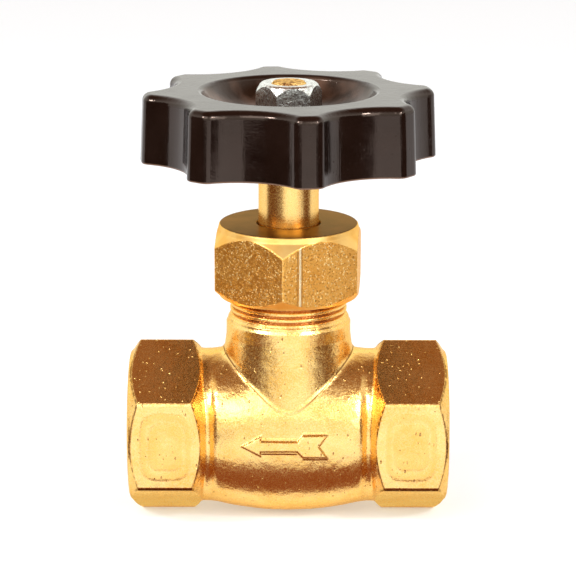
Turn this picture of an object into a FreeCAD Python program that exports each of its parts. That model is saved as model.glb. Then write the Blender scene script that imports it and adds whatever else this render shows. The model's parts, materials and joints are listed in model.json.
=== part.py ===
import FreeCAD, Part
import math
import os

from FreeCAD import Matrix, Vector

# A straight-way globe valve with G1/2 female ends. Lengths are in millimetres.
# It is drawn about the point where the port axis (X) meets the stem axis (Z), with the
# front at -Y, and every piece is moved at export so that the origin is the centre of
# the inlet's mouth. The stem is drawn fully raised: the valve is open.

overrun = 1.0               # how far a cutting shape runs past the face it opens

# Body
half_length = 27.85         # stem axis to the end face of either hexagonal end
end_across_flats = 27.0
socket_radius = 10.48       # major radius of the G1/2 thread
socket_floor = 15.5         # distance of the socket's floor from the stem axis
passage_radius = 8.0
globe_front = 13.65         # half depth and half height of the globe's middle section
globe_height = 15.3
globe_crown = (0.4, 1.55)   # how much less deep and high it is at its shoulders
globe_step = (1.2, 0.1)     # further drop from the shoulders to the groove at either end
shoulder_distance = 12.2    # from the stem axis to the start of that drop
shoulder_width = 1.6
globe_reach = 17.0          # the globe runs on this far inside the hexagonal ends
end_inner_face = 13.5       # distance of the hexagonal ends' inner face from the stem axis
end_inner_profile = ((11.6, 0.3), (13.9, 2.1), (16.2, 3.7))     # radius, distance from that face
end_outer_corner = 2.0      # end face back to where the turned end meets the hexagon's corners
end_outer_flat = 0.65       # and back to where it meets the middle of the flats
end_face_radius = 12.6
end_face_edge = (0.4, 0.15) # width and depth of the worn edge round the end face
forged_edge = 0.5           # rounding of the hexagons' long edges
neck_root_rounding = 1.6    # where the neck runs into the globe
end_root_rounding = 0.7     # where the hexagonal ends run into the globe
mouth_chamfer = 0.45        # depth and width of the countersink at each socket's mouth
mouth_chamfer_width = 0.72
chamber_front = 11.0        # half depth and half height of the hollow in the globe
chamber_height = 11.8
chamber_end_front = 9.6
chamber_end_height = 9.8
chamber_half_length = 13.2
web_thickness = 2.4         # partition between the inlet and outlet chambers
web_level = -0.6            # middle of the partition's level stretch
web_knee = 9.2              # where the partition bends towards the globe's wall
web_reach = (13.4, 12.0)    # sideways and upward reach of its sloping ends

# Neck
neck_radius = 10.87
neck_base_radius = 13.1     # the flare below its straight part
neck_base_level = 2.0
neck_flare_radius = 11.62   # half-way up the flare
neck_flare_level = 11.6
neck_waist_radius = 10.89
neck_waist_level = 17.0     # top of the flare
neck_shoulder = 19.2
neck_ledge_radius = 10.55   # small ledge between the shoulder's two chamfers
neck_ledge = (19.8, 20.05)
neck_lip_radius = 10.22
neck_thread_radius = 10.2
neck_thread_start = 20.5
neck_thread_runout = 1.5    # from the last groove to the neck's top
neck_thread_pitch = 1.058   # 24 turns to the inch
neck_thread_depth = 0.5
neck_top = 32.2
neck_top_chamfer = 0.8
groove_root = 0.12          # width of every thread's flat root
bonnet_bore_radius = 8.5    # bore for the bush and the packing
bonnet_floor = 13.0         # step that the bonnet gasket lies on
disc_way_radius = 7.5       # bore between that step and the chamber

# Flow arrow on the globe's front
arrow_level = 0.2
arrow_tip = -8.1
arrow_head_end = -4.7
arrow_head_half = 1.85
arrow_shaft_half = 1.0
arrow_shaft_end = 1.5
arrow_tail_half = 2.0
arrow_tail_start = 2.5
arrow_tail_end = 6.7
arrow_notch = 5.4
arrow_relief = 0.45
arrow_draft = 0.3           # how far its sides slope outwards on the way down to the globe

# Seat
seat_outer_radius = 7.0
seat_bore_radius = 5.0
seat_lip = 1.2
seat_lip_radius = 6.1
seat_foot_radius = 6.5
seat_edge = 0.5             # bevels on the edges of its bore

# Stem and its motion
lift = 4.5                  # travel of the disc between shut and open
stem_radius = 5.25
stem_clearance = 0.3        # round the smooth stem in the bush's top, washer and gland
thread_radius = 5.0
thread_lead = 1.5
thread_depth = 0.7
thread_bottom = 13.2
thread_top = 25.0           # open: the smooth stem starts just below the packing washer
shank_radius = 2.5
shank_flare = 0.8           # length of its cone below the thread
button_radius = 3.45
button_bottom = 9.0
button_top = 10.8
stem_bevels = (0.3, 0.6, 0.35)      # on the button, the thread's start and the stud
tang_across_flats = 7.0
tang_bottom = 46.5
tang_top = 54.2
stud_radius = 2.95          # M6 end
stud_top = 61.55

# Bush, packing and gland, from the bonnet floor up
gasket_thickness = 1.0
bush_top = 24.5
bush_counterbore = 20.4     # floor of the clearance bore, where the shut stem stops
running_clearance = 0.05
packing_washer_thickness = 1.0
packing_ring_thickness = 1.5
packing_ring_edge = 0.2
gland_top = 33.2
gland_flange_radius = 9.4
gland_flange_bottom = 32.4

# Cap nut
cap_across_flats = 24.6
cap_turn = -4.0             # degrees that its front corner is turned from the front
cap_bottom = 24.0
cap_top = 36.7
cap_face_radius = 12.1
cap_hole_radius = 5.65
cap_edge_rounding = 0.35
cap_foot_drop = (0.35, 2.1) # lower face up to the chamfer's edge on the flats and at the corners
cap_head_drop = (1.0, 3.3)  # upper face down to the other chamfer's edge on the same
cap_face_bevel = 0.2

# Disc group
seal_bottom = seat_lip + lift
seal_thickness = 2.4
seal_outer_radius = 6.2
seal_bore_radius = 2.0
holder_radius = 7.0
holder_rim = 6.7
holder_plate_top = 10.0
holder_boss_radius = 5.4
holder_top = 12.4
holder_bore_radius = 3.53
holder_bevels = (0.2, 0.4)  # on the cup's rim and on the plate
seal_washer_radius = 4.2
seal_washer_thickness = 0.8
screw_radius = 1.5
screw_end = 8.8
screw_head_radius = 2.6
screw_head_height = 1.5
screw_head_bevel = 0.25
screw_slot = 0.7            # width and depth
clip_level = 11.4
clip_wire_radius = 0.5
clip_ring_radius = 3.4
clip_gap = 2.2

# Handwheel and what holds it
wheel_bottom = 48.0
wheel_top = 60.0
wheel_radius = 25.6
wheel_scallop_radius = 21.45
wheel_lobes = 8
wheel_turn = 7.9            # degrees that the front lobe is turned from the front
wheel_lobe_half_angle = 4.7
wheel_lobe_rounding = 1.9
wheel_top_scale = 0.972     # draft of the rim
wheel_edge_rounding = 1.4
wheel_foot_rounding = 0.35
bowl_rim_radius = 15.2
bowl_lip = 0.7              # depth of its rounded lip
bowl_floor = 55.5
bowl_floor_radius = 9.2
bowl_sag = (12.3, 56.7)     # radius and level half-way up its wall
hub_radius = 9.5
hub_bottom = 46.0
hub_bevel = 0.8
under_ring_outer = 17.8
under_ring_depth = 5.2
stem_way_radius = 5.65      # hole in the hub's foot for the smooth stem
insert_across_flats = 12.0
insert_top = 54.2
insert_groove = (49.5, 51.0)
insert_groove_depth = 0.4
stud_hole_radius = 3.2      # in the wheel, over the insert
washer_thickness = 0.8
washer_outer_radius = 5.7
washer_bore_radius = 3.1
washer_split = 0.5
washer_split_slant = 25.0
washer_split_turn = 70.0
nut_across_flats = 10.0
nut_height = 5.0
nut_turn = 8.5
nut_face_radius = 4.7
nut_flat_drop = 0.25        # top face down to the worn chamfer's edge on the flats
nut_corner_drop = 1.6       # and at the corners
nut_foot_bevel = (0.2, 0.6)
nut_countersink = 0.45

TURN_OF_FRONT = -90.0       # direction of the front (-Y) in degrees about +Z
wheel_direction = TURN_OF_FRONT + wheel_turn
tang_corner = wheel_direction + 45.0


def polar(radius, degrees, z=0.0):
    angle = math.radians(degrees)
    return Vector(radius * math.cos(angle), radius * math.sin(angle), z)


def cylinder(radius, bottom, top):
    return Part.makeCylinder(radius, top - bottom, Vector(0, 0, bottom))


def tube(outer, inner, bottom, top):
    return cylinder(outer, bottom, top).cut(cylinder(inner, bottom, top))


def revolved(points):
    """Solid of revolution about Z. Each point is (radius, height)."""
    corners = [Vector(radius, 0, z) for radius, z in points]
    face = Part.Face(Part.makePolygon(corners + corners[:1]))
    return face.revolve(Vector(0, 0, 0), Vector(0, 0, 1), 360)


def revolved_wire(edges):
    face = Part.Face(Part.Wire(edges))
    return face.revolve(Vector(0, 0, 0), Vector(0, 0, 1), 360)


def along_x(shape):
    """Turn a shape drawn about Z so that its axis points along +X."""
    turned = shape.copy()
    turned.rotate(Vector(0, 0, 0), Vector(0, 1, 0), 90)
    return turned


def mirrored(shape):
    return shape.mirror(Vector(0, 0, 0), Vector(1, 0, 0))


def prism(sides, across_flats, bottom, top, corner_degrees):
    """Regular prism about Z with a corner in the given direction."""
    corner_radius = across_flats / 2 / math.cos(math.pi / sides)
    corners = [polar(corner_radius, corner_degrees + 360 * i / sides, bottom) for i in range(sides)]
    face = Part.Face(Part.makePolygon(corners + corners[:1]))
    return face.extrude(Vector(0, 0, top - bottom))


def upright_edges(shape, axis):
    """Straight edges of a shape that run along the given unit vector."""
    found = []
    for edge in shape.Edges:
        if edge.Curve.TypeId != "Part::GeomLine":
            continue
        direction = edge.tangentAt(edge.FirstParameter)
        if abs(direction.dot(axis)) > 0.999:
            found.append(edge)
    return found


def grooves(outer_radius, depth, pitch, bottom, top):
    """Ring grooves of a 60-degree thread, to cut from a round bar about Z."""
    count = int((top - bottom) / pitch)
    half = depth * math.tan(math.radians(30))
    root = outer_radius - depth
    beyond = outer_radius + overrun
    narrow = groove_root / 2
    wide = half + math.tan(math.radians(30)) * overrun
    rings = []
    for i in range(count):
        z = bottom + pitch * (i + 0.5)
        corners = [(root, z - narrow), (root, z + narrow), (beyond, z + wide), (beyond, z - wide)]
        rings.append(revolved(corners))
    return rings


def ellipse_wire(x, half_depth, half_height):
    """Upright ellipse across the port axis at the given x."""
    tall = Part.Ellipse(Vector(x, 0, half_height), Vector(x, half_depth, 0), Vector(x, 0, 0))
    return Part.Wire([tall.toShape()])


def half_width(x, middle, crown, step):
    """Half depth or half height of the globe at a distance x along the port axis."""
    run = min(max((abs(x) - shoulder_distance) / shoulder_width, 0.0), 1.0)
    along = min(abs(x), shoulder_distance)
    smooth_step = run * run * (3 - 2 * run)
    return middle - crown * (along / shoulder_distance) ** 2 - step * smooth_step


def globe_barrel(reach, swelling):
    """The globe's outer shape along X, made larger all round by the swelling."""
    crown = [0.0, 4.0, 8.0, 11.0]
    shoulder = [shoulder_distance + shoulder_width * i / 4 for i in range(5)]
    inside_ends = [15.0, 16.0, globe_reach]
    half = [x for x in crown + shoulder + inside_ends if x <= reach]
    places = [-x for x in half[:0:-1]] + half
    sections = []
    for x in places:
        half_depth = half_width(x, globe_front, globe_crown[0], globe_step[0]) + swelling
        half_height = half_width(x, globe_height, globe_crown[1], globe_step[1]) + swelling
        sections.append(ellipse_wire(x, half_depth, half_height))
    return Part.makeLoft(sections, True, False)


def chamber_barrel():
    """The globe's hollow: a barrel with a circular-arc profile along X."""
    sections = []
    for step in range(-3, 4):
        x = chamber_half_length * step / 3
        share = (step / 3) ** 2
        half_depth = chamber_front + (chamber_end_front - chamber_front) * share
        half_height = chamber_height + (chamber_end_height - chamber_height) * share
        sections.append(ellipse_wire(x, half_depth, half_height))
    return Part.makeLoft(sections, True, False)


# Body

def hexagonal_end():
    """The end on the inlet side, without its bores."""
    bar = prism(6, end_across_flats, end_inner_face, half_length, 0)
    bar = bar.makeFillet(forged_edge, upright_edges(bar, Vector(0, 0, 1)))
    flat = end_across_flats / 2
    corner = flat / math.cos(math.radians(30))
    edge_width, edge_depth = end_face_edge
    inner = [(radius, end_inner_face + distance) for radius, distance in end_inner_profile]
    widest = inner[-1][0]
    outer = [
        (widest, half_length - end_outer_corner),
        (corner, half_length - end_outer_corner),
        (flat, half_length - end_outer_flat),
        (end_face_radius + edge_width, half_length - edge_depth),
        (end_face_radius, half_length),
        (0, half_length),
    ]
    envelope = revolved([(0, end_inner_face)] + inner + outer)
    return along_x(bar.common(envelope))


def neck():
    base = Vector(neck_base_radius, 0, neck_base_level)
    waist = Vector(neck_waist_radius, 0, neck_waist_level)
    side = Vector(neck_flare_radius, 0, neck_flare_level)
    shoulder = Vector(neck_radius, 0, neck_shoulder)
    ledge_outer = Vector(neck_ledge_radius, 0, neck_ledge[0])
    ledge_inner = Vector(neck_ledge_radius, 0, neck_ledge[1])
    lip = Vector(neck_lip_radius, 0, neck_thread_start)
    flare = Part.Arc(base, side, waist).toShape()
    outline = [
        flare,
        Part.LineSegment(waist, shoulder).toShape(),
        Part.LineSegment(shoulder, ledge_outer).toShape(),
        Part.LineSegment(ledge_outer, ledge_inner).toShape(),
        Part.LineSegment(ledge_inner, lip).toShape(),
        Part.LineSegment(lip, Vector(0, 0, neck_thread_start)).toShape(),
        Part.LineSegment(Vector(0, 0, neck_thread_start), Vector(0, 0, neck_base_level)).toShape(),
        Part.LineSegment(Vector(0, 0, neck_base_level), base).toShape(),
    ]
    return revolved_wire(outline)


def threaded_neck():
    foot = neck_thread_start - overrun
    bar = revolved([
        (0, foot),
        (neck_thread_radius, foot),
        (neck_thread_radius, neck_top - neck_top_chamfer),
        (neck_thread_radius - neck_top_chamfer, neck_top),
        (0, neck_top),
    ])
    last = neck_top - neck_thread_runout
    rings = grooves(neck_thread_radius, neck_thread_depth, neck_thread_pitch, neck_thread_start, last)
    return bar.cut(rings)


def widened(outline, distance):
    """Corners of an outline in the XZ plane with every side moved outwards by the distance."""
    moved = []
    for i, (x, z) in enumerate(outline):
        before = Vector(x - outline[i - 1][0], 0, z - outline[i - 1][1]).normalize()
        following = outline[(i + 1) % len(outline)]
        after = Vector(following[0] - x, 0, following[1] - z).normalize()
        out_before = Vector(-before.z, 0, before.x)
        out_after = Vector(-after.z, 0, after.x)
        reach = distance / (1 + out_before.dot(out_after))
        moved.append(Vector(x, 0, z) + (out_before + out_after) * reach)
    return moved


def level_outline(outline, depth):
    """The arrow's outline at a depth inside the globe's foremost point, wider with its draft."""
    corners = widened(outline, depth * arrow_draft / arrow_relief)
    wire = Part.makePolygon(corners + corners[:1])
    wire.translate(Vector(0, depth - globe_front, 0))
    return wire


def arrow():
    """Raised flow arrow, pointing from the inlet to the outlet."""
    z = arrow_level
    outline = [
        (arrow_tip, z),
        (arrow_head_end, z + arrow_head_half),
        (arrow_head_end, z + arrow_shaft_half),
        (arrow_shaft_end, z + arrow_shaft_half),
        (arrow_tail_start, z + arrow_tail_half),
        (arrow_tail_end, z + arrow_tail_half),
        (arrow_notch, z),
        (arrow_tail_end, z - arrow_tail_half),
        (arrow_tail_start, z - arrow_tail_half),
        (arrow_shaft_end, z - arrow_shaft_half),
        (arrow_head_end, z - arrow_shaft_half),
        (arrow_head_end, z - arrow_head_half),
    ]
    foot = level_outline(outline, overrun)
    face = level_outline(outline, -arrow_relief - overrun / 3)
    skin = globe_barrel(shoulder_distance, arrow_relief)
    return Part.makeLoft([foot, face], True, True).common(skin)


def partition():
    """Z-shaped web across the globe's hollow, with the seat's hole in its level part."""
    side, rise = web_reach
    line = [
        Vector(-side, 0, web_level - rise),
        Vector(-web_knee, 0, web_level),
        Vector(web_knee, 0, web_level),
        Vector(side, 0, web_level + rise),
    ]
    slope = math.atan2(rise, side - web_knee)
    half = web_thickness / 2
    knee_shift = half * math.tan(slope / 2)
    end_shift = half / math.sin(slope)
    upper = [
        Vector(line[0].x + end_shift, 0, line[0].z),
        Vector(line[1].x + knee_shift, 0, web_level - half),
        Vector(line[2].x + knee_shift, 0, web_level - half),
        Vector(line[3].x + end_shift, 0, line[3].z),
    ]
    lower = [
        Vector(line[0].x - end_shift, 0, line[0].z),
        Vector(line[1].x - knee_shift, 0, web_level + half),
        Vector(line[2].x - knee_shift, 0, web_level + half),
        Vector(line[3].x - end_shift, 0, line[3].z),
    ]
    reach = chamber_front + overrun
    corners = [corner + Vector(0, -reach, 0) for corner in upper + lower[::-1]]
    web = Part.Face(Part.makePolygon(corners + corners[:1])).extrude(Vector(0, 2 * reach, 0))
    return web.cut(cylinder(seat_outer_radius, web_level - web_thickness, web_level + web_thickness))


def make_globe_and_neck():
    globe = globe_barrel(globe_reach, 0.0)
    joined = globe.fuse(neck())
    roots = []
    for edge in joined.Edges:
        middle = edge.valueAt((edge.FirstParameter + edge.LastParameter) / 2)
        across = math.hypot(middle.x, middle.y)
        in_front_or_behind = abs(middle.x) < 1.0 and middle.z > neck_base_level + 1.0
        if in_front_or_behind and neck_radius < across < globe_front:
            roots.append(edge)
    return joined.makeFillet(neck_root_rounding, roots)


def make_outside():
    end = hexagonal_end()
    joined = make_globe_and_neck().fuse([end, mirrored(end)])
    roots = []
    for edge in joined.Edges:
        middle = edge.valueAt((edge.FirstParameter + edge.LastParameter) / 2)
        beside_globe = end_inner_face < abs(middle.x) < end_inner_face + 2.5
        if beside_globe and edge.Length > 8.0 and math.hypot(middle.y, middle.z) > end_face_radius - 1.5:
            roots.append(edge)
    rounded = joined.makeFillet(end_root_rounding, roots)
    return rounded.fuse([threaded_neck(), arrow()])


def make_socket():
    """Space for the pipe's end on the inlet side, with the passage behind it."""
    beyond = half_length + overrun
    passage = cylinder(passage_radius, chamber_half_length - 1.5, socket_floor)
    socket = cylinder(socket_radius, socket_floor, beyond)
    mouth = revolved([
        (0, half_length - mouth_chamfer),
        (socket_radius, half_length - mouth_chamfer),
        (socket_radius + mouth_chamfer_width, half_length),
        (socket_radius + mouth_chamfer_width, beyond),
        (0, beyond),
    ])
    return [along_x(space) for space in (passage, socket, mouth)]


def make_body():
    room = chamber_barrel().cut(partition())
    socket = make_socket()
    way = cylinder(disc_way_radius, seal_bottom, bonnet_floor)
    bonnet_bore = cylinder(bonnet_bore_radius, bonnet_floor, neck_top + overrun)
    voids = [room, way, bonnet_bore] + socket + [mirrored(space) for space in socket]
    return make_outside().cut(voids)


# Pieces inside the body

def make_seat_ring():
    bottom = web_level - web_thickness / 2
    top_of_web = web_level + web_thickness / 2
    return revolved([
        (seat_bore_radius + seat_edge, bottom),
        (seat_outer_radius, bottom),
        (seat_outer_radius, top_of_web),
        (seat_foot_radius, top_of_web),
        (seat_lip_radius, seat_lip),
        (seat_bore_radius + seat_edge, seat_lip),
        (seat_bore_radius, seat_lip - seat_edge),
        (seat_bore_radius, bottom + seat_edge),
    ])


def make_bonnet_gasket():
    return tube(bonnet_bore_radius, disc_way_radius, bonnet_floor, bonnet_floor + gasket_thickness)


def make_stem_bush():
    bottom = bonnet_floor + gasket_thickness
    bore = thread_radius + running_clearance
    bevel = thread_depth / 2
    return revolved([
        (bore + bevel, bottom),
        (bonnet_bore_radius, bottom),
        (bonnet_bore_radius, bush_top),
        (stem_radius + stem_clearance, bush_top),
        (stem_radius + stem_clearance, bush_counterbore),
        (bore, bush_counterbore),
        (bore, bottom + bevel),
    ])


def make_packing_washer():
    top = bush_top + packing_washer_thickness
    return tube(bonnet_bore_radius, stem_radius + stem_clearance, bush_top, top)


def packing_ring(index):
    bottom = bush_top + packing_washer_thickness + index * packing_ring_thickness
    ring = tube(bonnet_bore_radius, stem_radius + running_clearance, bottom, bottom + packing_ring_thickness)
    rims = [edge for edge in ring.Edges if edge.Curve.TypeId == "Part::GeomCircle"]
    return ring.makeFillet(packing_ring_edge, rims)


def make_gland_follower():
    bottom = bush_top + packing_washer_thickness + 3 * packing_ring_thickness
    bore = stem_radius + stem_clearance
    return revolved([
        (bore, bottom),
        (bonnet_bore_radius, bottom),
        (bonnet_bore_radius, gland_flange_bottom),
        (gland_flange_radius, gland_flange_bottom),
        (gland_flange_radius, gland_top),
        (bore, gland_top),
    ])


def make_cap_nut():
    corner = TURN_OF_FRONT + cap_turn
    bar = prism(6, cap_across_flats, cap_bottom, cap_top, corner)
    bar = bar.makeFillet(cap_edge_rounding, upright_edges(bar, Vector(0, 0, 1)))
    flat = cap_across_flats / 2
    corner_radius = flat / math.cos(math.radians(30))
    foot_on_flat, foot_on_corner = cap_foot_drop
    head_on_flat, head_on_corner = cap_head_drop
    envelope = revolved([
        (0, cap_bottom),
        (cap_face_radius, cap_bottom),
        (flat, cap_bottom + foot_on_flat),
        (corner_radius, cap_bottom + foot_on_corner),
        (corner_radius, cap_top - head_on_corner),
        (flat, cap_top - head_on_flat),
        (cap_face_radius, cap_top - cap_face_bevel),
        (cap_face_radius - cap_face_bevel, cap_top),
        (0, cap_top),
    ])
    thread_bore = cylinder(neck_thread_radius, cap_bottom - overrun, gland_top)
    stem_hole = cylinder(cap_hole_radius, gland_top - overrun, cap_top + overrun)
    return bar.common(envelope).cut([thread_bore, stem_hole])


# Stem and disc group

def make_stem():
    button_bevel, thread_bevel, stud_bevel = stem_bevels
    thread_root = thread_radius - thread_depth
    round_part = revolved([
        (0, button_bottom),
        (button_radius - button_bevel, button_bottom),
        (button_radius, button_bottom + button_bevel),
        (button_radius, button_top),
        (shank_radius, button_top),
        (shank_radius, thread_bottom - shank_flare),
        (thread_root, thread_bottom),
        (thread_radius, thread_bottom + thread_bevel),
        (thread_radius, thread_top),
        (stem_radius, thread_top),
        (stem_radius, tang_bottom),
        (0, tang_bottom),
    ])
    rings = grooves(thread_radius, thread_depth, thread_lead, thread_bottom + 0.8, thread_top - 0.5)
    tang = prism(4, tang_across_flats, tang_bottom, tang_top, tang_corner)
    stud = cylinder(stud_radius, tang_top, stud_top)
    stud = stud.makeChamfer(stud_bevel, [edge for edge in stud.Edges if edge.BoundBox.ZMin > tang_top])
    return round_part.cut(rings).fuse([tang, stud])


def make_disc_holder():
    plate_bottom = seal_bottom + seal_thickness
    rim_bevel, plate_bevel = holder_bevels
    return revolved([
        (0, plate_bottom),
        (seal_outer_radius, plate_bottom),
        (seal_outer_radius, holder_rim),
        (holder_radius - rim_bevel, holder_rim),
        (holder_radius, holder_rim + rim_bevel),
        (holder_radius, holder_plate_top - plate_bevel),
        (holder_radius - plate_bevel, holder_plate_top),
        (holder_boss_radius, holder_plate_top),
        (holder_boss_radius, holder_top),
        (holder_bore_radius, holder_top),
        (holder_bore_radius, button_bottom),
        (0, button_bottom),
    ]).cut([clip_groove(), screw_hole()])


def clip_groove():
    return Part.makeTorus(clip_ring_radius, clip_wire_radius + 0.02, Vector(0, 0, clip_level))


def screw_hole():
    return cylinder(screw_radius, seal_bottom, screw_end)


def make_stem_clip():
    """Open wire ring in the holder's bore, over the stem's button."""
    ring = Part.makeTorus(clip_ring_radius, clip_wire_radius, Vector(0, 0, clip_level))
    reach = clip_ring_radius + 2 * clip_wire_radius
    corner = Vector(0, -clip_gap / 2, clip_level - 2 * clip_wire_radius)
    return ring.cut(Part.makeBox(reach, clip_gap, 4 * clip_wire_radius, corner))


def make_disc_seal():
    return tube(seal_outer_radius, seal_bore_radius, seal_bottom, seal_bottom + seal_thickness)


def make_seal_washer():
    bore = screw_radius + running_clearance
    return tube(seal_washer_radius, bore, seal_bottom - seal_washer_thickness, seal_bottom)


def make_seal_screw():
    """Cheese-head screw through the washer and the seal into the holder."""
    head_top = seal_bottom - seal_washer_thickness
    head_bottom = head_top - screw_head_height
    head = cylinder(screw_head_radius, head_bottom, head_top)
    head = head.makeChamfer(screw_head_bevel, [edge for edge in head.Edges if edge.BoundBox.ZMax < head_top])
    shank = cylinder(screw_radius, head_top, screw_end)
    reach = screw_head_radius + overrun
    slot_corner = Vector(-reach, -screw_slot / 2, head_bottom)
    return head.fuse(shank).cut(Part.makeBox(2 * reach, screw_slot, screw_slot, slot_corner))


# Handwheel

def wheel_outline(scale, z):
    """Closed wire of the rim: lobes with rounded corners and hollow scallops between."""
    outer = wheel_radius
    half_step = 180.0 / wheel_lobes
    edges = []
    for i in range(wheel_lobes):
        lobe = wheel_direction + 2 * half_step * i
        start = polar(outer, lobe - wheel_lobe_half_angle)
        tip = polar(outer, lobe)
        end = polar(outer, lobe + wheel_lobe_half_angle)
        hollow = polar(wheel_scallop_radius, lobe + half_step)
        following = polar(outer, lobe + 2 * half_step - wheel_lobe_half_angle)
        edges.append(Part.Arc(start, tip, end).toShape())
        edges.append(Part.Arc(end, hollow, following).toShape())
    wire = Part.Wire(edges)
    sizing = Matrix()
    sizing.scale(scale, scale, 1.0)
    wire.transformShape(sizing, True)
    wire.translate(Vector(0, 0, z))
    return wire


def make_wheel_blank():
    lower = wheel_outline(1.0, wheel_bottom)
    upper = wheel_outline(wheel_top_scale, wheel_top)
    blank = Part.makeLoft([lower, upper], True, True)
    rim_middle = (wheel_bottom + wheel_top) / 2
    corners = [edge for edge in blank.Edges if edge.BoundBox.ZMin < rim_middle < edge.BoundBox.ZMax]
    blank = blank.makeFillet(wheel_lobe_rounding, corners)
    top_edges = [edge for edge in blank.Edges if edge.BoundBox.ZMin > wheel_top - 0.01]
    blank = blank.makeFillet(wheel_edge_rounding, top_edges)
    bottom_edges = [edge for edge in blank.Edges if edge.BoundBox.ZMax < wheel_bottom + 0.01]
    return blank.makeFillet(wheel_foot_rounding, bottom_edges)


def bowl():
    """Dish in the wheel's top, with a rounded lip."""
    floor_corner = Vector(bowl_floor_radius, 0, bowl_floor)
    sag = Vector(bowl_sag[0], 0, bowl_sag[1])
    wall_top = Vector(bowl_rim_radius - 0.45, 0, wheel_top - bowl_lip)
    lip = Vector(bowl_rim_radius - 0.1, 0, wheel_top - 0.22)
    rim = Vector(bowl_rim_radius + 0.6, 0, wheel_top + 0.001)
    above = wheel_top + overrun
    outline = [
        Part.LineSegment(Vector(0, 0, bowl_floor), floor_corner).toShape(),
        Part.Arc(floor_corner, sag, wall_top).toShape(),
        Part.Arc(wall_top, lip, rim).toShape(),
        Part.LineSegment(rim, Vector(rim.x, 0, above)).toShape(),
        Part.LineSegment(Vector(rim.x, 0, above), Vector(0, 0, above)).toShape(),
        Part.LineSegment(Vector(0, 0, above), Vector(0, 0, bowl_floor)).toShape(),
    ]
    return revolved_wire(outline)


def make_insert_blank():
    return prism(6, insert_across_flats, tang_bottom, insert_top, wheel_direction)


def make_handwheel():
    under_top = wheel_bottom + under_ring_depth
    hub = revolved([
        (0, hub_bottom),
        (hub_radius - hub_bevel, hub_bottom),
        (hub_radius, hub_bottom + hub_bevel),
        (hub_radius, under_top + hub_bevel),
        (0, under_top + hub_bevel),
    ])
    under = tube(under_ring_outer, hub_radius, wheel_bottom - overrun, under_top)
    wheel = make_wheel_blank().cut(under).fuse(hub)
    stem_way = cylinder(stem_way_radius, hub_bottom - overrun, tang_bottom)
    insert_way = make_insert_blank().fuse(stem_way)
    stud_hole = cylinder(stud_hole_radius, insert_top - overrun, bowl_floor + overrun)
    return wheel.cut([bowl(), insert_way, stud_hole])


def make_handwheel_insert():
    blank = make_insert_blank()
    tang_hole = prism(4, tang_across_flats, hub_bottom, tang_top + overrun, tang_corner)
    groove_radius = insert_across_flats / 2 - insert_groove_depth
    groove = tube(insert_across_flats, groove_radius, insert_groove[0], insert_groove[1])
    return blank.cut([tang_hole, groove])


def make_lock_washer():
    """Spring washer, pressed flat, with its slanting split."""
    middle = bowl_floor + washer_thickness / 2
    reach = washer_outer_radius + overrun
    ring = tube(washer_outer_radius, washer_bore_radius, bowl_floor, bowl_floor + washer_thickness)
    split = Part.makeBox(reach, washer_split, 2 * overrun, Vector(0, -washer_split / 2, middle - overrun))
    split.rotate(Vector(0, 0, middle), Vector(1, 0, 0), washer_split_slant)
    split.rotate(Vector(0, 0, 0), Vector(0, 0, 1), washer_split_turn)
    return ring.cut(split)


def make_handwheel_nut():
    bottom = bowl_floor + washer_thickness
    top = bottom + nut_height
    bar = prism(6, nut_across_flats, bottom, top, TURN_OF_FRONT + nut_turn + 30.0)
    flat = nut_across_flats / 2
    corner = flat / math.cos(math.radians(30))
    foot_inset, foot_rise = nut_foot_bevel
    envelope = revolved([
        (0, bottom),
        (flat - foot_inset, bottom),
        (corner, bottom + foot_rise),
        (corner, top - nut_corner_drop),
        (flat, top - nut_flat_drop),
        (nut_face_radius, top),
        (0, top),
    ])
    countersink = revolved([
        (0, top - nut_countersink),
        (stud_radius, top - nut_countersink),
        (stud_radius + nut_countersink, top),
        (0, top),
    ])
    return bar.common(envelope).cut([cylinder(stud_radius, bottom - overrun, top + overrun), countersink])


def export(node, shape):
    placed = shape.copy()
    placed.translate(Vector(-half_length, 0, 0))
    solids = placed.Solids
    if len(solids) != 1 or not placed.isValid():
        print("CHECK", node, "solids", len(solids), "valid", placed.isValid())
    print(f"{node:24s} {placed.Volume:9.1f} mm3")
    placed.exportStep(f"parts/{node}.step")


os.makedirs("parts", exist_ok=True)

export("body", make_body())
export("seat_ring", make_seat_ring())
export("bonnet_gasket", make_bonnet_gasket())
export("stem_bush", make_stem_bush())
export("packing_washer", make_packing_washer())
for ring_index, place in enumerate(["lower", "middle", "upper"]):
    export(f"packing_ring_{place}", packing_ring(ring_index))
export("gland_follower", make_gland_follower())
export("cap_nut", make_cap_nut())
export("stem", make_stem())
export("disc_holder", make_disc_holder())
export("stem_clip", make_stem_clip())
export("disc_seal", make_disc_seal())
export("seal_washer", make_seal_washer())
export("seal_screw", make_seal_screw())
export("handwheel", make_handwheel())
export("handwheel_insert", make_handwheel_insert())
export("lock_washer", make_lock_washer())
export("handwheel_nut", make_handwheel_nut())
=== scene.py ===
import json
import math

import bpy
from mathutils import Matrix, Vector


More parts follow.
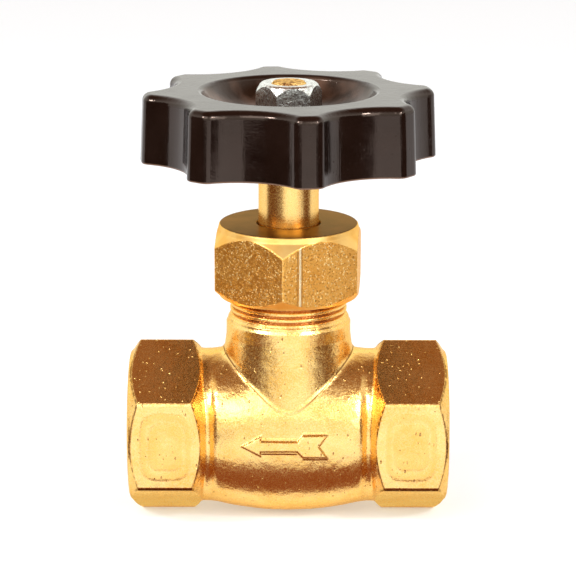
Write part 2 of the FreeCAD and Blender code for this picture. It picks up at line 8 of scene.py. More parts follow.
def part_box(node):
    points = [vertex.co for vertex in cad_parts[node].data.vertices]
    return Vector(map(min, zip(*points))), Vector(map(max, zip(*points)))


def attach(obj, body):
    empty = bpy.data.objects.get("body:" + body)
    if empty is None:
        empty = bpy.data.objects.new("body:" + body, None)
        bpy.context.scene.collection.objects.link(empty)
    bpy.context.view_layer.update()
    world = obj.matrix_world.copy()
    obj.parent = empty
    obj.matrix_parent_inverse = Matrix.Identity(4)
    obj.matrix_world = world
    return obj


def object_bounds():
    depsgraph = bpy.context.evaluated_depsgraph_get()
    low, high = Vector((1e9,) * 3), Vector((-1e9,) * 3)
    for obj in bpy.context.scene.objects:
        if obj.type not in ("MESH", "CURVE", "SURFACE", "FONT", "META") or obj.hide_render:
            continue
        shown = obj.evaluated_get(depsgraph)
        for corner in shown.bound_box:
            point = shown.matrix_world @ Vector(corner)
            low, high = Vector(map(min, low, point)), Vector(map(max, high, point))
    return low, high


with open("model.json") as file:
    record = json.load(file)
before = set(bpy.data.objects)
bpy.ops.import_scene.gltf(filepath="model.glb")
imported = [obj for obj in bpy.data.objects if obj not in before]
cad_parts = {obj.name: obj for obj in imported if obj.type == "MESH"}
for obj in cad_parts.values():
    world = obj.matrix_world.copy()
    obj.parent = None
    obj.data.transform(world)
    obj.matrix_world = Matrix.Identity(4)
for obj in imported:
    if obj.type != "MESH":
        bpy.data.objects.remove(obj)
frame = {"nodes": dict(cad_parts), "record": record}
cad_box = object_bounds()
nodes = frame["nodes"]

MM = 0.001


# Reference places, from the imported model

def port_and_stem_crossing():
    """Where the port axis meets the stem axis."""
    low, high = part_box("stem")
    inlet = next(m for m in frame["record"]["mounts"] if m["name"] == "inlet_port")
    return Vector(((low.x + high.x) / 2, 0.0, inlet["pos_m"][2]))


CENTRE = port_and_stem_crossing()


# Camera

VIEW_DISTANCE = 0.4623
VIEW_ELEVATION = 14.54
VIEW_ROLL = 0.12
VIEW_LENS = 165.3
VIEW_AIM = Vector((-0.09, 0.0, 24.9)) * MM


def make_camera():
    data = bpy.data.cameras.new("camera")
    data.lens = VIEW_LENS
    data.sensor_width = 36.0
    data.clip_start = 0.01
    data.clip_end = 20.0
    camera = bpy.data.objects.new("camera", data)
    bpy.context.scene.collection.objects.link(camera)
    elevation = math.radians(VIEW_ELEVATION)
    back = Vector((0.0, -math.cos(elevation), math.sin(elevation))) * VIEW_DISTANCE
    place = Matrix.Translation(CENTRE + VIEW_AIM + back)
    tilt = Matrix.Rotation(math.pi / 2 - elevation, 4, "X")
    roll = Matrix.Rotation(math.radians(VIEW_ROLL), 4, "Z")
    camera.matrix_world = place @ tilt @ roll
    bpy.context.scene.camera = camera


# Node helpers

class Nodes:
    """A short way to write a node tree."""

    def __init__(self, tree):
        self.tree = tree
        tree.nodes.clear()

    def add(self, kind, sets=None, **inputs):
        node = self.tree.nodes.new(kind)
        for name, value in (sets or {}).items():
            setattr(node, name, value)
        for name, value in inputs.items():
            self.put(node, name.replace("_", " "), value)
        return node

    def put(self, node, name, value):
        socket = node.inputs[name]
        if isinstance(value, bpy.types.NodeSocket):
            self.tree.links.new(value, socket)
        else:
            socket.default_value = value

    def math(self, operation, *values):
        node = self.tree.nodes.new("ShaderNodeMath")
        node.operation = operation
        for socket, value in zip(node.inputs, values):
            if isinstance(value, bpy.types.NodeSocket):
                self.tree.links.new(value, socket)
            else:
                socket.default_value = value
        return node.outputs[0]

    def ramp(self, factor, *stops):
        """Colour ramp from (position, colour) stops. A single number means grey."""
        node = self.tree.nodes.new("ShaderNodeValToRGB")
        elements = node.color_ramp.elements
        while len(elements) < len(stops):
            elements.new(0.5)
        for element, (position, colour) in zip(elements, stops):
            if not isinstance(colour, tuple):
                colour = (colour, colour, colour)
            element.position = position
            element.color = (*colour, 1.0)
        self.tree.links.new(factor, node.inputs["Fac"])
        return node.outputs["Color"]

    def noise(self, coordinates, scale, detail=3.0, roughness=0.5):
        node = self.add("ShaderNodeTexNoise", Scale=scale, Detail=detail, Roughness=roughness)
        self.tree.links.new(coordinates, node.inputs["Vector"])
        return node.outputs["Fac"]

    def cells(self, coordinates, scale, output="Distance", feature="F1"):
        node = self.add("ShaderNodeTexVoronoi", sets={"feature": feature}, Scale=scale)
        self.tree.links.new(coordinates, node.inputs["Vector"])
        return node.outputs[output]

    def turned(self, coordinates, degrees, stretch):
        """Coordinates turned about Y, then scaled along each axis."""
        node = self.add("ShaderNodeMapping", sets={"vector_type": "POINT"}, Vector=coordinates)
        node.inputs["Rotation"].default_value = (0.0, math.radians(degrees), 0.0)
        node.inputs["Scale"].default_value = stretch
        return node.outputs["Vector"]

    def part(self, coordinates, axis):
        node = self.add("ShaderNodeSeparateXYZ", Vector=coordinates)
        return node.outputs[axis]

    def towards(self, coordinates, direction):
        """Distance from the origin along a direction."""
        node = self.add("ShaderNodeVectorMath", sets={"operation": "DOT_PRODUCT"})
        self.tree.links.new(coordinates, node.inputs[0])
        node.inputs[1].default_value = direction
        return node.outputs["Value"]

    def along(self, coordinates, direction):
        """The same, on either side."""
        return self.math("ABSOLUTE", self.towards(coordinates, direction))

    def from_stem(self, coordinates):
        """Distance from the stem's axis."""
        flattened = self.add("ShaderNodeVectorMath", sets={"operation": "MULTIPLY"})
        self.tree.links.new(coordinates, flattened.inputs[0])
        flattened.inputs[1].default_value = (1.0, 1.0, 0.0)
        length = self.add("ShaderNodeVectorMath", sets={"operation": "LENGTH"})
        self.tree.links.new(flattened.outputs["Vector"], length.inputs[0])
        return length.outputs["Value"]

    def across_hexagon(self, coordinates, directions):
        """Greatest distance from the axis towards any of a hexagon's flats."""
        first, second, third = (self.along(coordinates, direction) for direction in directions)
        return self.either(self.either(first, second), third)

    def distance(self, coordinates, point):
        node = self.add("ShaderNodeVectorMath", sets={"operation": "DISTANCE"})
        self.tree.links.new(coordinates, node.inputs[0])
        node.inputs[1].default_value = point
        return node.outputs["Value"]

    def band(self, value, low, high, soft):
        """1 between two values, falling off outside them."""
        rise = self.step(value, low - soft, low)
        fall = self.step(value, high, high + soft)
        return self.math("SUBTRACT", rise, fall)

    def both(self, first, second):
        return self.math("MULTIPLY", first, second)

    def either(self, first, second):
        return self.math("MAXIMUM", first, second)

    def under(self, value, start, end):
        """1 below the start, 0 above the end."""
        return self.math("SUBTRACT", 1.0, self.step(value, start, end))

    def step(self, value, start, end):
        """0 below the start, 1 above the end."""
        node = self.add("ShaderNodeMapRange", sets={"interpolation_type": "SMOOTHSTEP"})
        self.tree.links.new(value, node.inputs["Value"])
        node.inputs["From Min"].default_value = start
        node.inputs["From Max"].default_value = end
        return node.outputs["Result"]

    def mix(self, factor, first, second):
        node = self.tree.nodes.new("ShaderNodeMix")
        node.data_type = "RGBA"
        colour_sockets = (node.inputs[0], node.inputs[6], node.inputs[7])
        for socket, value in zip(colour_sockets, (factor, first, second)):
            if isinstance(value, bpy.types.NodeSocket):
                self.tree.links.new(value, socket)
            else:
                socket.default_value = (*value, 1.0) if isinstance(value, tuple) else value
        return node.outputs[2]

    def bump(self, height, distance, strength=1.0, normal=None):
        node = self.add("ShaderNodeBump", Strength=strength, Distance=distance)
        self.tree.links.new(height, node.inputs["Height"])
        if normal is not None:
            self.tree.links.new(normal, node.inputs["Normal"])
        return node.outputs["Normal"]


def new_material(name):
    material = bpy.data.materials.new(name)
    material.use_nodes = True
    return material, Nodes(material.node_tree)


def place_in_mm(n):
    """Position in the part's own frame, in millimetres from the port and stem axes' crossing."""
    coordinates = n.add("ShaderNodeTexCoord")
    mapping = n.add("ShaderNodeMapping", sets={"vector_type": "POINT"}, Vector=coordinates.outputs["Object"])
    mapping.inputs["Location"].default_value = tuple(-CENTRE / MM)
    mapping.inputs["Scale"].default_value = (1 / MM, 1 / MM, 1 / MM)
    return mapping.outputs["Vector"]


def rounded(n, radius):
    """The normal as if every edge were rounded off by the radius in mm."""
    return n.add("ShaderNodeBevel", sets={"samples": 6}, Radius=radius * MM).outputs["Normal"]


def leaning(n, degrees):
    """A normal that faces the front and leans upwards by the angle."""
    lean = math.radians(degrees)
    node = n.add("ShaderNodeCombineXYZ", X=0.0, Y=-math.cos(lean), Z=math.sin(lean))
    return node.outputs["Vector"]


def surface(n, tint=None, **inputs):
    """A principled surface. The tint colours its reflections."""
    shader = n.add("ShaderNodeBsdfPrincipled", **inputs)
    if tint:
        shader.inputs["Specular Tint"].default_value = tint
    output = n.add("ShaderNodeOutputMaterial")
    n.tree.links.new(shader.outputs["BSDF"], output.inputs["Surface"])


# Brass

BRASS = (0.94, 0.60, 0.19)
DEEP_BRASS = (0.88, 0.49, 0.11)
PALE_BRASS = (0.97, 0.73, 0.36)
# Dark brown for the painted shade in the neck's crease and along lower edges, and for the darker band beside
# the end flats' curved edges.
DARK_EDGE_BROWN = (0.20, 0.075, 0.02)
GROOVE_SHADE_BRASS = (0.50, 0.16, 0.05)
KNOCKED_BRASS = (0.70, 0.42, 0.14)
EDGE_TINT = (1.0, 0.80, 0.50, 1.0)

FACING_FRONT = (0.0, -1.0, 0.0)
PORT_AXIS = (1.0, 0.0, 0.0)
END_FLATS = ((0.0, 1.0, 0.0), (0.0, 0.5, 0.866), (0.0, -0.5, 0.866))
END_FLAT_DISTANCE = 13.5
END_FLAT_HALF_HEIGHT = 7.8
END_MIDDLE = 21.2


def turned_flats(degrees):
    """Directions of the flats of a hexagon about Z whose front corner is turned by the angle."""
    angles = [math.radians(degrees + offset) for offset in (0.0, 60.0, 120.0)]
    return [(math.cos(angle), math.sin(angle), 0.0) for angle in angles]


CAP_FLATS = turned_flats(-4.0)
CAP_FLAT_DISTANCE = 12.3
CAP_TOP = 36.7
# Centre in mm of the painted reflection of the stem on the cap nut's top face.
PAINTED_REFLECTION_SPOT = (0.6, -8.0, 36.7)


def nicks(n, place, degrees, scale, share):
    """Small slanting knocks: 1 on the sound surface and 0 in the middle of each knock."""
    slanted = n.turned(place, degrees, (1.0, 1.0, 0.4))
    return n.step(n.cells(slanted, scale), share * 0.3, share)


NECK_RADIUS = 10.87
NECK_FLARE_TOP = 17.0
NECK_FLARE_SLOPE = 0.1334
NECK_FLARE_GROWTH = 0.00102


def crease(n, place):
    """Painted shade along the line where the flared neck meets the rounding at its root. It fades towards
    the front.
    """
    drop = n.math("MAXIMUM", n.math("SUBTRACT", NECK_FLARE_TOP, n.part(place, "Z")), 0.0)
    flare = n.math("MULTIPLY", drop, n.math("MULTIPLY_ADD", drop, NECK_FLARE_GROWTH, NECK_FLARE_SLOPE))
    beyond = n.math("SUBTRACT", n.from_stem(place), n.math("ADD", flare, NECK_RADIUS))
    line = n.band(beyond, 0.12, 0.18, 0.05)
    return n.both(line, n.step(n.part(place, "Z"), 4.5, 9.0))


THREAD_GROOVES_FOOT = 20.6
THREAD_GROOVES_RADIUS = 10.0


def in_thread_grooves(n, place):
    """The grooves of the thread at the top of the neck."""
    on_thread = n.step(n.part(place, "Z"), THREAD_GROOVES_FOOT - 0.1, THREAD_GROOVES_FOOT + 0.1)
    inside = n.under(n.from_stem(place), THREAD_GROOVES_RADIUS - 0.25, THREAD_GROOVES_RADIUS + 0.08)
    return n.both(on_thread, inside)


PANEL_HALF_LENGTH = 4.2
PANEL_HALF_HEIGHT = 5.8


def end_panel(n, place):
    """Two faint uneven frames on the front and back flats of both ends."""
    inwards = n.math("SUBTRACT", n.along(place, PORT_AXIS), END_MIDDLE)
    sideways = n.math("DIVIDE", inwards, PANEL_HALF_LENGTH)
    upward = n.math("DIVIDE", n.part(place, "Z"), PANEL_HALF_HEIGHT)
    squares = [n.math("POWER", n.math("ABSOLUTE", value), 4.0) for value in (sideways, upward)]
    reach = n.math("ADD", n.math("ADD", *squares), n.both(n.noise(place, 0.35, 2.0), 0.3))
    frame_line = n.math("ADD", n.band(reach, 0.85, 1.0, 0.5), n.band(reach, 0.22, 0.30, 0.18))
    out = n.along(place, FACING_FRONT)
    on_front = n.step(out, END_FLAT_DISTANCE - 0.05, END_FLAT_DISTANCE - 0.02)
    return n.both(frame_line, on_front)


def end_rim(n, place):
    """A darker band beside the curved edges of the flats, above the lowest ones."""
    across = n.across_hexagon(place, END_FLATS)
    on_flat = n.step(across, END_FLAT_DISTANCE - 0.06, END_FLAT_DISTANCE - 0.03)
    beside_flat = n.step(across, END_FLAT_DISTANCE - 0.65, END_FLAT_DISTANCE - 0.15)
    above_bottom = n.step(n.part(place, "Z"), -9.0, -8.0)
    return n.both(n.math("SUBTRACT", beside_flat, on_flat), above_bottom)


def lower_edge_shade(n, place):
    """The line of painted shade along the lower edge of the front and back flats."""
    line = n.band(n.part(place, "Z"), -END_FLAT_HALF_HEIGHT - 0.35, -END_FLAT_HALF_HEIGHT + 0.2, 0.12)
    out = n.along(place, FACING_FRONT)
    return n.both(line, n.step(out, END_FLAT_DISTANCE - 0.55, END_FLAT_DISTANCE - 0.45))


def flat_edge(n, place, side):
    """The rounded upper or lower edge of the front flats of both ends."""
    away = n.math("MULTIPLY", n.part(place, "Z"), side)
    out = n.towards(place, FACING_FRONT)
    on_front = n.step(out, END_FLAT_DISTANCE - 0.2, END_FLAT_DISTANCE - 0.1)
    return n.both(n.band(away, END_FLAT_HALF_HEIGHT - 0.4, END_FLAT_HALF_HEIGHT - 0.05, 0.12), on_front)


ARROW_LEVEL = 0.2
ARROW_FOOT_WIDTH = 0.2
ARROW_SHAFT_FOOT = 1.3
ARROW_SHAFT_ENDS = (-4.5, 1.4)
ARROW_TAIL_FOOT = 2.3
ARROW_TAIL_ENDS = (2.6, 6.7)


def arrow_foot(n, place, side):
    """Where the level edges of the arrow run out into the globe, above or below the arrow."""
    x = n.part(place, "X")
    away = n.math("MULTIPLY", n.math("SUBTRACT", n.part(place, "Z"), ARROW_LEVEL), side)
    shaft, tail = (
        n.both(n.band(away, foot, foot + ARROW_FOOT_WIDTH, 0.1), n.band(x, *ends, 0.2))
        for foot, ends in ((ARROW_SHAFT_FOOT, ARROW_SHAFT_ENDS), (ARROW_TAIL_FOOT, ARROW_TAIL_ENDS))
    )
    on_front = n.step(n.towards(place, FACING_FRONT), 5.0, 6.0)
    return n.both(n.either(shaft, tail), on_front)


def forging_knocks(n, place):
    """0 in the middle of each knock and pit, 1 elsewhere."""
    nicked = n.math("MINIMUM", nicks(n, place, 28.0, 0.75, 0.12), nicks(n, place, -50.0, 0.6, 0.11))
    return n.math("MINIMUM", nicked, n.step(n.cells(place, 0.8), 0.03, 0.10))


EDGE_LEAN = 21.7


def forged_brass():
    material, n = new_material("forged_brass")
    place = place_in_mm(n)
    in_end = n.step(n.along(place, PORT_AXIS), 15.0, 15.4)
    grain = n.noise(place, 3.6, 3.0, 0.6)
    knocks = forging_knocks(n, place)
    panel = end_panel(n, place)
    above, below = (
        n.either(arrow_foot(n, place, side), n.both(flat_edge(n, place, side), in_end))
        for side in (1, -1)
    )
    broken = n.step(n.noise(place, 1.3, 3.0), 0.34, 0.52)
    rim = n.both(n.both(n.both(end_rim(n, place), in_end), broken), 0.95)
    # Painted shade in the neck's crease and along the lower edges of the end flats.
    lines = n.both(n.either(crease(n, place), n.both(lower_edge_shade(n, place), in_end)), 0.9)

    blotches = n.ramp(n.noise(place, 0.2, 4.0), (0.35, DEEP_BRASS), (0.6, BRASS))
    fine = n.mix(n.both(n.step(grain, 0.35, 0.65), 0.45), blotches, PALE_BRASS)
    panelled = n.mix(n.both(panel, 0.5), fine, DEEP_BRASS)
    edged = n.mix(n.either(rim, lines), panelled, DARK_EDGE_BROWN)
    # Painted shade in the grooves of the thread at the top of the neck.
    grooved = n.mix(n.both(in_thread_grooves(n, place), 0.8), edged, GROOVE_SHADE_BRASS)
    # Painted shade below the arrow and along the lower edges of the front flats.
    shaded = n.mix(n.both(below, 0.3), grooved, DARK_EDGE_BROWN)
    colour = n.mix(knocks, KNOCKED_BRASS, shaded)
    roughness = n.ramp(grain, (0.3, 0.19), (0.75, 0.33))

    upper_fillets = n.mix(above, rounded(n, 0.35), leaning(n, EDGE_LEAN))
    filleted = n.mix(below, upper_fillets, leaning(n, -EDGE_LEAN))
    soft = n.bump(n.noise(place, 0.7, 2.0), 0.16 * MM, 0.6, filleted)
    framed = n.bump(panel, 0.10 * MM, 0.7, soft)
    grained = n.bump(grain, 0.03 * MM, 0.8, framed)
    knocked = n.bump(knocks, 0.10 * MM, 0.9, grained)
    surface(n, EDGE_TINT, Base_Color=colour, Metallic=1.0, Roughness=roughness, Normal=knocked)
    return material


DRAWN_FLAT = (0.438, -0.899, 0.0)
ALONG_DRAWN_FLAT = (0.899, 0.438, 0.0)
FRONT_CORNER = -7.1
DRAWN_LINE = 3.3


def drawn_line(n, place, width, shift=0.0):
    """An upright line that the drawing die left on the flat right of the front corner."""
    middle = FRONT_CORNER + DRAWN_LINE + shift
    line = n.band(n.towards(place, ALONG_DRAWN_FLAT), middle - width / 2, middle + width / 2, 0.12)
    out = n.towards(place, DRAWN_FLAT)
    return n.both(line, n.step(out, CAP_FLAT_DISTANCE - 0.1, CAP_FLAT_DISTANCE - 0.05))


def bar_brass():
    material, n = new_material("bar_brass")
    place = place_in_mm(n)
    across = n.across_hexagon(place, CAP_FLATS)
    height = n.part(place, "Z")
    on_flat = n.step(across, CAP_FLAT_DISTANCE - 0.06, CAP_FLAT_DISTANCE - 0.02)
    on_top = n.step(height, CAP_TOP - 0.06, CAP_TOP - 0.02)
    coarse = n.under(n.cells(place, 1.7), 0.16, 0.34)
    small = n.under(n.cells(n.turned(place, 25.0, (1.0, 1.0, 1.0)), 2.6), 0.14, 0.30)
    glint = n.both(n.either(coarse, small), n.step(n.noise(place, 0.9, 2.0), 0.38, 0.52))
    pits = n.step(n.noise(place, 2.6, 3.0, 0.7), 0.36, 0.50)
    fine = n.noise(place, 6.0, 2.0)
    worn = n.noise(place, 0.25, 4.0)
    dull = n.ramp(worn, (0.35, (0.80, 0.38, 0.07)), (0.65, (0.87, 0.47, 0.11)))
    flat_colour = n.mix(pits, (0.44, 0.19, 0.035), n.mix(n.both(glint, 0.95), dull, (1.0, 0.82, 0.40)))
    # Painted shade along both sides of the die line, and a painted highlight along its middle.
    die_line_shade = n.either(drawn_line(n, place, 0.15, -0.45), drawn_line(n, place, 0.12, 0.35))
    lined = n.mix(n.both(die_line_shade, 0.6), flat_colour, (0.35, 0.16, 0.04))
    lined = n.mix(n.both(drawn_line(n, place, 0.25), 0.8), lined, (1.0, 0.90, 0.60))
    turned_colour = n.ramp(worn, (0.35, (0.84, 0.48, 0.12)), (0.62, (0.93, 0.62, 0.22)))
    # Painted shade: the top face is coloured dark brown to stand for the shade under the handwheel.
    painted_shade_top = n.ramp(worn, (0.35, (0.13, 0.052, 0.022)), (0.70, (0.21, 0.088, 0.035)))
    # Painted reflection: a gold spot in front of the stem stands for the stem's reflection in the top face.
    painted_reflection = n.under(n.distance(place, PAINTED_REFLECTION_SPOT), 0.8, 4.2)
    top_colour = n.mix(n.both(painted_reflection, 0.8), painted_shade_top, (0.62, 0.36, 0.10))
    colour = n.mix(on_top, n.mix(on_flat, turned_colour, lined), top_colour)
    side_roughness = n.mix(on_flat, (0.46, 0.46, 0.46), (0.34, 0.34, 0.34))
    roughness = n.mix(on_top, side_roughness, (0.40, 0.40, 0.40))
    rough_flat = n.bump(pits, 0.03 * MM, 0.7, n.bump(glint, 0.03 * MM, 0.8, rounded(n, 0.35)))
    smooth = n.bump(fine, 0.012 * MM, 0.6, rounded(n, 0.35))
    normal = n.mix(on_flat, smooth, rough_flat)
    surface(n, EDGE_TINT, Base_Color=colour, Metallic=1.0, Roughness=roughness, Normal=normal)
    return material


def turned_brass():
    material, n = new_material("turned_brass")
    place = place_in_mm(n)
    grain = n.noise(place, 3.0, 3.0, 0.6)
    colour = n.ramp(grain, (0.3, DEEP_BRASS), (0.6, BRASS))
    roughness = n.ramp(grain, (0.3, 0.20), (0.7, 0.30))
    fine = n.bump(grain, 0.01 * MM, 0.6)
    surface(n, EDGE_TINT, Base_Color=colour, Metallic=1.0, Roughness=roughness, Normal=fine)
    return material


STUD_END = 61.4


def stem_brass():
    material, n = new_material("stem_brass")
    place = place_in_mm(n)
    on_end = n.step(n.part(place, "Z"), STUD_END - 0.3, STUD_END)
    rings = n.noise(n.turned(place, 0.0, (0.3, 0.3, 9.0)), 1.0, 2.0)
    grain = n.noise(place, 3.5, 3.0, 0.6)
    lumps = n.noise(place, 1.1, 3.0, 0.65)
    smooth = n.ramp(grain, (0.3, (0.86, 0.50, 0.14)), (0.65, (0.94, 0.64, 0.24)))
    peened = n.ramp(
        lumps,
        (0.40, (0.25, 0.09, 0.03)),
        (0.50, (0.85, 0.55, 0.18)),
        (0.68, (0.95, 0.74, 0.36)),
    )
    colour = n.mix(on_end, smooth, peened)
    roughness = n.mix(on_end, n.ramp(grain, (0.3, 0.20), (0.7, 0.30)), (0.38, 0.38, 0.38))
    turned = n.bump(rings, 0.012 * MM, 0.6)
    normal = n.mix(on_end, n.bump(grain, 0.012 * MM, 0.6, turned), n.bump(lumps, 0.9 * MM, 1.0))
    surface(n, EDGE_TINT, Base_Color=colour, Metallic=1.0, Roughness=roughness, Normal=normal)
    return material


# Handwheel and small pieces

WARM_TINT = (1.0, 0.75, 0.63, 1.0)
WHEEL_FOOT = 48.0
UNDER_RING = 17.9
UNDER_RING_TOP = 53.2
BOWL_RIM = 15.2


def phenolic():
    material, n = new_material("phenolic")
    place = place_in_mm(n)
    height = n.part(place, "Z")
    outwards = n.from_stem(place)
    below_rim = n.under(height, WHEEL_FOOT + 0.1, WHEEL_FOOT + 0.4)
    in_ring = n.under(outwards, UNDER_RING, UNDER_RING + 0.1)
    below_bowl = n.under(height, UNDER_RING_TOP + 0.2, UNDER_RING_TOP + 0.6)
    underneath = n.either(below_rim, n.both(in_ring, below_bowl))
    above_hollow = n.math("SUBTRACT", 1.0, below_bowl)
    in_bowl = n.both(n.under(outwards, BOWL_RIM - 0.7, BOWL_RIM + 0.1), above_hollow)
    swirl = n.noise(place, 0.2, 4.0, 0.6)
    patches = n.step(n.noise(place, 0.12, 3.0), 0.42, 0.60)
    speck = n.noise(place, 3.0, 3.0, 0.6)
    pits = n.step(n.cells(place, 0.9), 0.05, 0.16)
    mould_marks = n.noise(n.turned(place, 0.0, (1.0, 1.0, 0.05)), 1.3, 2.0, 0.6)
    clean_colour = n.ramp(swirl, (0.3, (0.0035, 0.0018, 0.0014)), (0.7, (0.008, 0.0042, 0.0033)))
    drifts = n.noise(place, 0.16, 2.0)
    # Partly dust in the bowl and partly painted reflection of the light the bowl's walls catch.
    dust_and_sheen = n.ramp(drifts, (0.40, (0.010, 0.005, 0.003)), (0.62, (0.10, 0.055, 0.038)))
    # Painted light: the underside is coloured far lighter than the top to stand for the light it gets from
    # the floor below.
    underside_painted_light = n.ramp(speck, (0.3, (0.15, 0.085, 0.055)), (0.7, (0.21, 0.12, 0.08)))
    colour = n.mix(underneath, n.mix(in_bowl, clean_colour, dust_and_sheen), underside_painted_light)
    clean = n.ramp(swirl, (0.35, 0.06), (0.7, 0.12))
    worn = n.mix(patches, clean, n.ramp(speck, (0.35, 0.10), (0.7, 0.24)))
    roughness = n.mix(underneath, worn, (0.6, 0.6, 0.6))
    wavy = n.bump(swirl, 0.06 * MM, 0.5)
    marked = n.bump(mould_marks, 0.04 * MM, 0.6, wavy)
    fine = n.bump(speck, 0.010 * MM, 0.7, marked)
    sound = n.either(pits, n.math("SUBTRACT", 1.0, patches))
    pitted = n.bump(sound, 0.03 * MM, 0.7, fine)
    surface(n, WARM_TINT, Base_Color=colour, Roughness=roughness, Normal=pitted, IOR=1.5)
    return material


def zinc_plate():
    material, n = new_material("zinc_plate")
    place = place_in_mm(n)
    grain = n.noise(place, 2.4, 4.0, 0.6)
    scratches = n.noise(n.turned(place, 35.0, (1.0, 1.0, 0.3)), 2.2, 3.0, 0.6)
    knocks = n.noise(place, 0.9, 3.0, 0.6)
    scuffs = n.step(scratches, 0.36, 0.58)
    colour = n.mix(scuffs, (0.50, 0.50, 0.49), (0.82, 0.86, 0.83))
    roughness = n.ramp(grain, (0.3, 0.34), (0.7, 0.22))
    dented = n.bump(knocks, 0.20 * MM, 0.7)
    scratched = n.bump(scratches, 0.05 * MM, 0.6, dented)
    surface(n, Base_Color=colour, Metallic=1.0, Roughness=roughness, Normal=scratched)
    return material


def plain(name, dark, light, rough_low, rough_high, metallic, scale):
    """A simple two-tone material for the pieces inside."""
    material, n = new_material(name)
    place = place_in_mm(n)
    grain = n.noise(place, scale, 4.0, 0.6)
    colour = n.ramp(grain, (0.3, dark), (0.7, light))
    roughness = n.ramp(grain, (0.3, rough_low), (0.7, rough_high))
    uneven = n.bump(grain, 0.03 * MM, 0.7)
    surface(n, Base_Color=colour, Metallic=metallic, Roughness=roughness, Normal=uneven)
    return material


# Threads in the two ports

THREAD_PITCH = 1.814
THREAD_ROOT = 10.5
THREAD_CREST = 9.35
THREAD_DEPTHS = (1.0, 11.6)
THREAD_STEPS = 72
THREAD_FOOT_HALF = 0.46
THREAD_CREST_HALF = 0.10
THREAD_FADE_STEPS = THREAD_STEPS / 3


def thread_ring(angle, middle, share):
    """Section of the thread's ridge at an angle about X, its height multiplied by the share."""
    crest = THREAD_ROOT - (THREAD_ROOT - THREAD_CREST) * share
    section = (
        (THREAD_ROOT, -THREAD_FOOT_HALF),
        (crest, -THREAD_CREST_HALF),
        (crest, THREAD_CREST_HALF),
        (THREAD_ROOT, THREAD_FOOT_HALF),
    )
    corners = []
    for radius, offset in section:
        x = middle + offset * THREAD_PITCH
        corners.append(Vector((x, radius * math.cos(angle), radius * math.sin(angle))))
    return corners


def port_thread(name, side):
    """The pipe thread of one port: a ridge that winds inwards from its mouth."""
    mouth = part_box("body")[1].x if side > 0 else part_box("body")[0].x
    half_length = abs(mouth - CENTRE.x) / MM
    first, last = THREAD_DEPTHS
    turns = (last - first) / THREAD_PITCH
    count = int(turns * THREAD_STEPS)
    verts = []
    for i in range(count + 1):
        angle = 2 * math.pi * i / THREAD_STEPS
        share = min(1.0, 0.05 + min(i, count - i) / THREAD_FADE_STEPS)
        middle = half_length - first - THREAD_PITCH * i / THREAD_STEPS
        for corner in thread_ring(angle, middle, share):
            verts.append(CENTRE + Vector((side * corner.x, corner.y, side * corner.z)) * MM)
    faces = [(0, 1, 2, 3)]
    for i in range(count):
        for j in range(4):
            a, b = 4 * i + j, 4 * i + (j + 1) % 4
            faces.append((a, a + 4, b + 4, b))
    faces.append(tuple(4 * count + j for j in (3, 2, 1, 0)))
    mesh = bpy.data.meshes.new(name)
    mesh.from_pydata([tuple(v) for v in verts], [], faces)
    thread = bpy.data.objects.new(name, mesh)
    bpy.context.scene.collection.objects.link(thread)
    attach(thread, "valve_body")
    return thread


def give(material, *names):
    """Put one material on several CAD nodes."""
    for name in names:
        data = nodes[name].data
        data.materials.clear()
        data.materials.append(material)


# Floor and light

FLOOR_REACH = 3.0


def make_floor():
    level_of_floor = cad_box[0][2]
    mesh = bpy.data.meshes.new("floor")
    corners = [
        (x * FLOOR_REACH + CENTRE.x, y * FLOOR_REACH, level_of_floor)
        for x, y in ((-1, -1), (1, -1), (1, 1), (-1, 1))
    ]
    mesh.from_pydata(corners, [], [(0, 1, 2, 3)])
    floor = bpy.data.objects.new("floor", mesh)
    bpy.context.scene.collection.objects.link(floor)
    material, n = new_material("floor")
    surface(
        n,
        Base_Color=(0.80, 0.86, 0.93, 1.0),
        Roughness=0.9,
        Emission_Color=(0.92, 0.97, 1.0, 1.0),
        Emission_Strength=0.25,
    )
    mesh.materials.append(material)


def reflected_card(name, corners, colour, strength):
    """A studio card that only shows in reflections. Corners are in mm about the centre."""
    mesh = bpy.data.meshes.new(name)
    places = [tuple(CENTRE + Vector(corner) * MM) for corner in corners]
    mesh.from_pydata(places, [], [tuple(range(len(corners)))])
    card = bpy.data.objects.new(name, mesh)
    bpy.context.scene.collection.objects.link(card)
    material, n = new_material(name)
    glow = n.add("ShaderNodeEmission", Color=(*colour, 1.0), Strength=strength)
    output = n.add("ShaderNodeOutputMaterial")
    n.tree.links.new(glow.outputs[0], output.inputs["Surface"])
    mesh.materials.append(material)
    card.visible_camera = False
    card.visible_diffuse = False
    card.visible_shadow = False
    card.visible_transmission = False


LIGHT_AIM = (0, 0, 15)


def area_light(name, place, width, height, power):
    data = bpy.data.lights.new(name, "AREA")
    data.shape = "RECTANGLE"
    data.size = width * MM
    data.size_y = height * MM
    data.energy = power
    light = bpy.data.objects.new(name, data)
    bpy.context.scene.collection.objects.link(light)
    start = CENTRE + Vector(place) * MM
    direction = CENTRE + Vector(LIGHT_AIM) * MM - start
    turned = direction.to_track_quat("-Z", "Y").to_matrix().to_4x4()
    light.matrix_world = Matrix.Translation(start) @ turned


def make_world():
    world = bpy.data.worlds.new("studio")
    bpy.context.scene.world = world
    world.use_nodes = True
    n = Nodes(world.node_tree)
    direction = n.add("ShaderNodeTexCoord")
    split = n.add("ShaderNodeSeparateXYZ", Vector=direction.outputs["Generated"])
    height = split.outputs["Z"]
    glow = n.ramp(
        height,
        (0.0, (1.15, 1.15, 1.10)),
        (0.25, (1.15, 1.15, 1.05)),
        (0.42, (1.55, 1.55, 1.48)),
        (0.60, (1.1, 1.05, 0.98)),
        (0.85, (0.32, 0.15, 0.08)),
        (1.0, (0.30, 0.13, 0.07)),
    )
    background = n.add("ShaderNodeBackground", Color=glow, Strength=1.0)
    output = n.add("ShaderNodeOutputWorld")
    n.tree.links.new(background.outputs[0], output.inputs["Surface"])


# Studio cards. An outline is the x and y in mm of a level card's corners just above the floor.

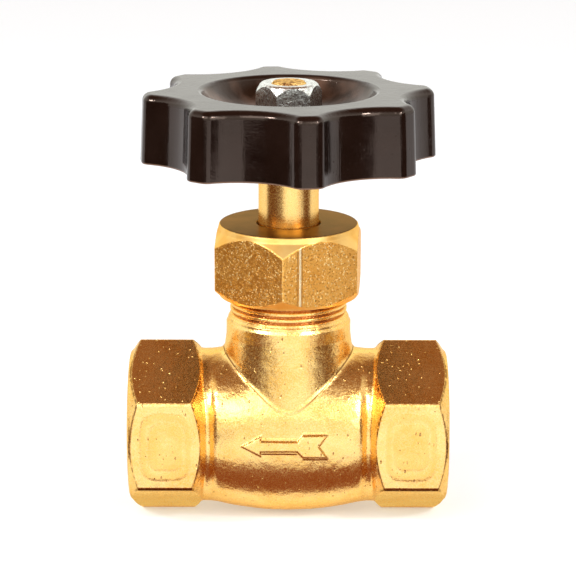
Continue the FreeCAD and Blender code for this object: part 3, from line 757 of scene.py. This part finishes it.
DARK_WARM = (0.30, 0.13, 0.06)
FLOOR_SHADE_RED = (0.36, 0.12, 0.06)
GOLD = (0.85, 0.58, 0.15)
BOARD_LEVEL = -15.2
NEAR_LEFT = [(-55, -5), (-57, -70), (-80, -110), (-84, -170), (-150, -130), (-200, -5)]
FAR_LEFT = [(-84, -170), (-85, -600), (-700, -600), (-700, -5), (-200, -5), (-150, -130)]
NEAR_RIGHT = [(55, -5), (57, -70), (80, -100), (105, -85), (125, -78), (180, -110), (200, -5)]
FAR_RIGHT = [(180, -110), (200, -140), (240, -600), (700, -600), (700, -5), (200, -5)]
GOLD_CARD = [(92, 10), (92, -30), (100, -42), (132, -42), (132, 10)]
UNDER_CARD = [(15, -6), (31, -6), (31, 10), (15, 10)]
PALE = (0.95, 0.88, 0.60)
FLOOR_FLAG = [(-36, -27), (36, -27), (36, -11), (-36, -11)]
FLAG_PLACE = 260
FLAG_HEIGHT = 150


def level(outline, side=1, height=BOARD_LEVEL):
    """Corners of a level card. The side is -1 to mirror it to the left."""
    return [(side * x, y, height) for x, y in outline]


def make_studio():
    make_floor()
    make_world()
    boards = (("left", NEAR_LEFT, FAR_LEFT), ("right", NEAR_RIGHT, FAR_RIGHT))
    for name, near, far in boards:
        reflected_card(f"near_board_{name}", level(near), DARK_WARM, 0.9)
        reflected_card(f"far_board_{name}", level(far), DARK_WARM, 0.35)
    # A dark card on the floor in front of the globe, seen only in reflections, standing for the shade on the
    # floor under the valve.
    reflected_card("flag_floor", level(FLOOR_FLAG), FLOOR_SHADE_RED, 0.8)
    for name, side in (("left", -1), ("right", 1)):
        reflected_card(f"gold_{name}", level(GOLD_CARD, side, BOARD_LEVEL + 0.2), GOLD, 1.0)
        reflected_card(f"under_{name}", level(UNDER_CARD, side, BOARD_LEVEL + 0.3), PALE, 0.9)
        x = side * FLAG_PLACE
        flag = [(x, -270, BOARD_LEVEL), (x, -20, BOARD_LEVEL), (x, -20, FLAG_HEIGHT), (x, -270, FLAG_HEIGHT)]
        reflected_card(f"flag_{name}", flag, DARK_WARM, 0.5)
    area_light("key", (-260, -520, 420), 420, 300, 1.2)
    area_light("fill", (320, -480, 300), 300, 300, 0.7)
    area_light("lamp_left", (-500, -330, 440), 110, 110, 1.7)
    area_light("lamp_right", (430, -470, 460), 110, 110, 1.7)


def set_plain_view():
    """Show colours without a film look."""
    scene = bpy.context.scene
    scene.view_settings.view_transform = "Standard"
    scene.view_settings.look = "None"
    scene.view_settings.exposure = 0.0
    scene.view_settings.gamma = 1.0


make_camera()
make_studio()
set_plain_view()

give(forged_brass(), "body")
thread_finish = turned_brass()
for port_name, port_side in (("inlet_thread", 1), ("outlet_thread", -1)):
    port_thread(port_name, port_side).data.materials.append(thread_finish)
give(bar_brass(), "cap_nut")
give(stem_brass(), "stem")
give(
    thread_finish,
    "seat_ring",
    "stem_bush",
    "packing_washer",
    "gland_follower",
    "disc_holder",
    "seal_washer",
    "handwheel_insert",
)
give(phenolic(), "handwheel")
give(zinc_plate(), "handwheel_nut", "lock_washer")
stainless = plain("stainless", (0.45, 0.45, 0.46), (0.68, 0.68, 0.68), 0.2, 0.35, 1.0, 2.0)
give(stainless, "seal_screw", "stem_clip")
packing = plain("packing", (0.02, 0.02, 0.022), (0.07, 0.07, 0.075), 0.55, 0.8, 0.0, 2.0)
give(packing, "packing_ring_lower", "packing_ring_middle", "packing_ring_upper")
rubber = plain("rubber", (0.012, 0.012, 0.012), (0.03, 0.03, 0.03), 0.5, 0.7, 0.0, 2.0)
give(rubber, "disc_seal")
fibre = plain("fibre", (0.22, 0.06, 0.03), (0.36, 0.12, 0.07), 0.6, 0.85, 0.0, 2.0)
give(fibre, "bonnet_gasket")
